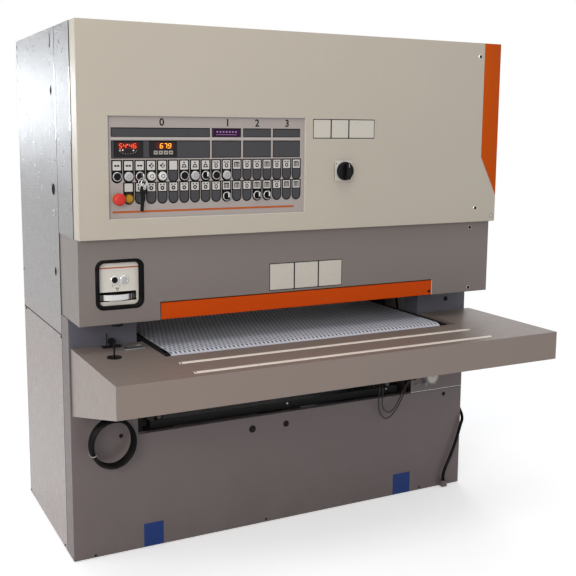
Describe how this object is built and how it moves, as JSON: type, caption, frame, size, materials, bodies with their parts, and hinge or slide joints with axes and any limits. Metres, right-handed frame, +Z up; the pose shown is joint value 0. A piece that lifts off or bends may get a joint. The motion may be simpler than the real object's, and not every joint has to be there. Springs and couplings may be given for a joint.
{
  "type": "wide belt sander",
  "caption": "Floor-standing through-feed wide belt sander with a lifting conveyor table, an infeed shelf, contact rollers, a switch cabinet door with controls and a hinged belt-change door.",
  "frame": {"origin": "centre of the whole footprint, on the floor", "axes": "+X to the right seen from the infeed side, +Y from the infeed side to the outfeed side, +Z up"},
  "size_m": [1.708, 1.4119, 1.91],
  "materials": {
    "beige_paint": "textured satin",
    "grey_paint": "textured satin",
    "base_paint": "textured satin",
    "shelf_paint": "semi-gloss",
    "frame_paint": "satin",
    "orange_paint": "satin",
    "motor_paint": "satin",
    "panel_film": "satin film",
    "zinc_plate": "zinc plated",
    "steel": "ground",
    "roller_rubber": "matt",
    "belt_rubber": "patterned",
    "black_rubber": "matt",
    "black_plastic": "fine texture",
    "grey_plastic": "smooth",
    "white_plastic": "smooth",
    "red_plastic": "smooth",
    "amber_plastic": "translucent",
    "key_metal": "polished",
    "abrasive_cloth": "coarse grain"
  },
  "bodies": {
    "machine": {"base_frame": "frame_paint", "levelling_feet": "black_rubber", "base_front_panel": "base_paint", "base_side_covers": "base_paint", "base_rear_panel": "base_paint", "upper_frame": "frame_paint", "roof_panel": "grey_paint", "upper_right_cover": "grey_paint", "upper_rear_cover": "grey_paint", "front_cabinet": "grey_paint", "electrics": "grey_plastic", "mid_panel": "grey_paint", "gauge_plate": "panel_film", "main_motor": "motor_paint", "drive_belts": "black_rubber", "sanding_units": "frame_paint", "abrasive_belts": "abrasive_cloth", "lift_gear": "frame_paint", "air_regulator": "grey_plastic", "hose_coil": "black_rubber", "sensor_cable": "grey_plastic", "supply_cable": "black_rubber"},
    "door": {"cabinet_door": "beige_paint", "control_panel": "panel_film"},
    "side_door": {"side_door": "grey_paint"},
    "table": {"conveyor_bed": "frame_paint", "lift_screws": "steel", "conveyor_belt": "belt_rubber", "infeed_shelf": "shelf_paint", "gauge_post": "black_plastic"},
    "motor_rotor": {"motor_pulley": "steel"},
    "contact_roller_1": {"contact_roller_1": "roller_rubber"},
    "contact_roller_2": {"contact_roller_2": "roller_rubber"},
    "tension_roller_1": {"tension_roller_1": "steel"},
    "tension_roller_2": {"tension_roller_2": "steel"},
    "drive_roller": {"drive_roller": "steel"},
    "return_roller": {"return_roller": "steel"},
    "infeed_roller_1": {"infeed_roller_1": "zinc_plate"},
    "infeed_roller_2": {"infeed_roller_2": "zinc_plate"},
    "safety_bar": {"safety_bar": "orange_paint"},
    "gauge_wheel": {"gauge_wheel": "steel"},
    "gauge_foot": {"gauge_foot": "black_plastic"},
    "gauge_button_1": {"gauge_button_1": "black_plastic"},
    "gauge_button_2": {"gauge_button_2": "white_plastic"},
    "isolator_knob": {"isolator_knob": "black_plastic"},
    "e_stop": {"e_stop": "red_plastic"},
    "amber_button": {"amber_button": "amber_plastic"},
    "key_switch": {"key_switch": "key_metal"},
    "selector_1": {"selector_1": "black_plastic"},
    "selector_2": {"selector_2": "black_plastic"},
    "selector_3": {"selector_3": "black_plastic"},
    "selector_4": {"selector_4": "black_plastic"},
    "push_button_1": {"push_button_1": "black_plastic"},
    "push_button_2": {"push_button_2": "white_plastic"},
    "push_button_3": {"push_button_3": "white_plastic"},
    "push_button_4": {"push_button_4": "white_plastic"},
    "push_button_5": {"push_button_5": "black_plastic"},
    "push_button_6": {"push_button_6": "white_plastic"},
    "push_button_7": {"push_button_7": "black_plastic"},
    "push_button_8": {"push_button_8": "white_plastic"}
  },
  "joints": [
    {"name": "motor_spin", "type": "hinge", "parent": "machine", "child": "motor_rotor", "pos_m": [0.776, 0.192, 0.2], "axis": [1, 0, 0], "continuous": true},
    {"name": "contact_roller_1_spin", "type": "hinge", "parent": "machine", "child": "contact_roller_1", "pos_m": [-0.011, 0.067, 0.9329], "axis": [1, 0, 0], "continuous": true},
    {"name": "tension_roller_1_spin", "type": "hinge", "parent": "machine", "child": "tension_roller_1", "pos_m": [-0.011, 0.067, 1.6689], "axis": [1, 0, 0], "continuous": true},
    {"name": "contact_roller_2_spin", "type": "hinge", "parent": "machine", "child": "contact_roller_2", "pos_m": [-0.011, 0.362, 0.9329], "axis": [1, 0, 0], "continuous": true},
    {"name": "tension_roller_2_spin", "type": "hinge", "parent": "machine", "child": "tension_roller_2", "pos_m": [-0.011, 0.362, 1.6689], "axis": [1, 0, 0], "continuous": true},
    {"name": "table_lift", "type": "slide", "parent": "machine", "child": "table", "axis": [0, 0, 1], "range_m": [-0.1021, 0.0649]},
    {"name": "drive_roller_spin", "type": "hinge", "parent": "table", "child": "drive_roller", "pos_m": [-0.011, 0.654, 0.723], "axis": [1, 0, 0], "continuous": true},
    {"name": "return_roller_spin", "type": "hinge", "parent": "table", "child": "return_roller", "pos_m": [-0.011, -0.376, 0.723], "axis": [1, 0, 0], "continuous": true},
    {"name": "infeed_roller_1_spin", "type": "hinge", "parent": "table", "child": "infeed_roller_1", "pos_m": [-0.0025, -0.528, 0.754], "axis": [1, 0, 0], "continuous": true},
    {"name": "infeed_roller_2_spin", "type": "hinge", "parent": "table", "child": "infeed_roller_2", "pos_m": [-0.0025, -0.654, 0.754], "axis": [1, 0, 0], "continuous": true},
    {"name": "cabinet_door_hinge", "type": "hinge", "parent": "machine", "child": "door", "pos_m": [-0.8525, -0.2903, 1.5], "axis": [0, 0, -1], "range_deg": [0, 110]},
    {"name": "side_door_hinge", "type": "hinge", "parent": "machine", "child": "side_door", "pos_m": [-0.83, 0.524, 1.325], "axis": [0, 0, -1], "range_deg": [0, 110]},
    {"name": "safety_bar_swing", "type": "hinge", "parent": "machine", "child": "safety_bar", "pos_m": [-0.0085, -0.308, 0.921], "axis": [1, 0, 0], "range_deg": [0, 15], "stiffness_Nm_per_rad": 2, "springref_deg": -14.32},
    {"name": "gauge_wheel_turn", "type": "hinge", "parent": "machine", "child": "gauge_wheel", "pos_m": [-0.717, -0.233, 0.96], "axis": [0, 0, 1], "continuous": true},
    {"name": "gauge_foot_lift", "type": "slide", "parent": "machine", "child": "gauge_foot", "axis": [0, 0, 1], "range_m": [0, 0.008], "stiffness_N_per_m": 200},
    {"name": "gauge_button_1_push", "type": "slide", "parent": "machine", "child": "gauge_button_1", "axis": [0, 1, 0], "range_m": [0, 0.003], "stiffness_N_per_m": 300},
    {"name": "gauge_button_2_push", "type": "slide", "parent": "machine", "child": "gauge_button_2", "axis": [0, 1, 0], "range_m": [0, 0.003], "stiffness_N_per_m": 300},
    {"name": "isolator_turn", "type": "hinge", "parent": "door", "child": "isolator_knob", "pos_m": [0.121, -0.368, 1.368], "axis": [0, -1, 0], "range_deg": [0, 90]},
    {"name": "e_stop_push", "type": "slide", "parent": "door", "child": "e_stop", "axis": [0, 1, 0], "range_m": [0, 0.006]},
    {"name": "amber_button_push", "type": "slide", "parent": "door", "child": "amber_button", "axis": [0, 1, 0], "range_m": [0, 0.003], "stiffness_N_per_m": 300},
    {"name": "key_switch_turn", "type": "hinge", "parent": "door", "child": "key_switch", "pos_m": [-0.64716, -0.353, 1.361], "axis": [0, -1, 0], "range_deg": [0, 90]},
    {"name": "selector_1_turn", "type": "hinge", "parent": "door", "child": "selector_1", "pos_m": [-0.41634, -0.353, 1.361], "axis": [0, -1, 0], "range_deg": [-45, 45]},
    {"name": "selector_2_turn", "type": "hinge", "parent": "door", "child": "selector_2", "pos_m": [-0.3394, -0.353, 1.289], "axis": [0, -1, 0], "range_deg": [-45, 45]},
    {"name": "selector_3_turn", "type": "hinge", "parent": "door", "child": "selector_3", "pos_m": [-0.22399, -0.353, 1.289], "axis": [0, -1, 0], "range_deg": [-45, 45]},
    {"name": "selector_4_turn", "type": "hinge", "parent": "door", "child": "selector_4", "pos_m": [-0.18552, -0.353, 1.289], "axis": [0, -1, 0], "range_deg": [-45, 45]},
    {"name": "push_button_1_push", "type": "slide", "parent": "door", "child": "push_button_1", "axis": [0, 1, 0], "range_m": [0, 0.003], "stiffness_N_per_m": 300},
    {"name": "push_button_2_push", "type": "slide", "parent": "door", "child": "push_button_2", "axis": [0, 1, 0], "range_m": [0, 0.003], "stiffness_N_per_m": 300},
    {"name": "push_button_3_push", "type": "slide", "parent": "door", "child": "push_button_3", "axis": [0, 1, 0], "range_m": [0, 0.003], "stiffness_N_per_m": 300},
    {"name": "push_button_4_push", "type": "slide", "parent": "door", "child": "push_button_4", "axis": [0, 1, 0], "range_m": [0, 0.003], "stiffness_N_per_m": 300},
    {"name": "push_button_5_push", "type": "slide", "parent": "door", "child": "push_button_5", "axis": [0, 1, 0], "range_m": [0, 0.003], "stiffness_N_per_m": 300},
    {"name": "push_button_6_push", "type": "slide", "parent": "door", "child": "push_button_6", "axis": [0, 1, 0], "range_m": [0, 0.003], "stiffness_N_per_m": 300},
    {"name": "push_button_7_push", "type": "slide", "parent": "door", "child": "push_button_7", "axis": [0, 1, 0], "range_m": [0, 0.003], "stiffness_N_per_m": 300},
    {"name": "push_button_8_push", "type": "slide", "parent": "door", "child": "push_button_8", "axis": [0, 1, 0], "range_m": [0, 0.003], "stiffness_N_per_m": 300}
  ],
  "couplings": [
    {"joint": "contact_roller_1_spin", "follows": "motor_spin", "ratio": 1.432},
    {"joint": "tension_roller_1_spin", "follows": "motor_spin", "ratio": 2.8162},
    {"joint": "contact_roller_2_spin", "follows": "motor_spin", "ratio": 1.432},
    {"joint": "tension_roller_2_spin", "follows": "motor_spin", "ratio": 2.8162},
    {"joint": "return_roller_spin", "follows": "drive_roller_spin", "ratio": 1}
  ]
}
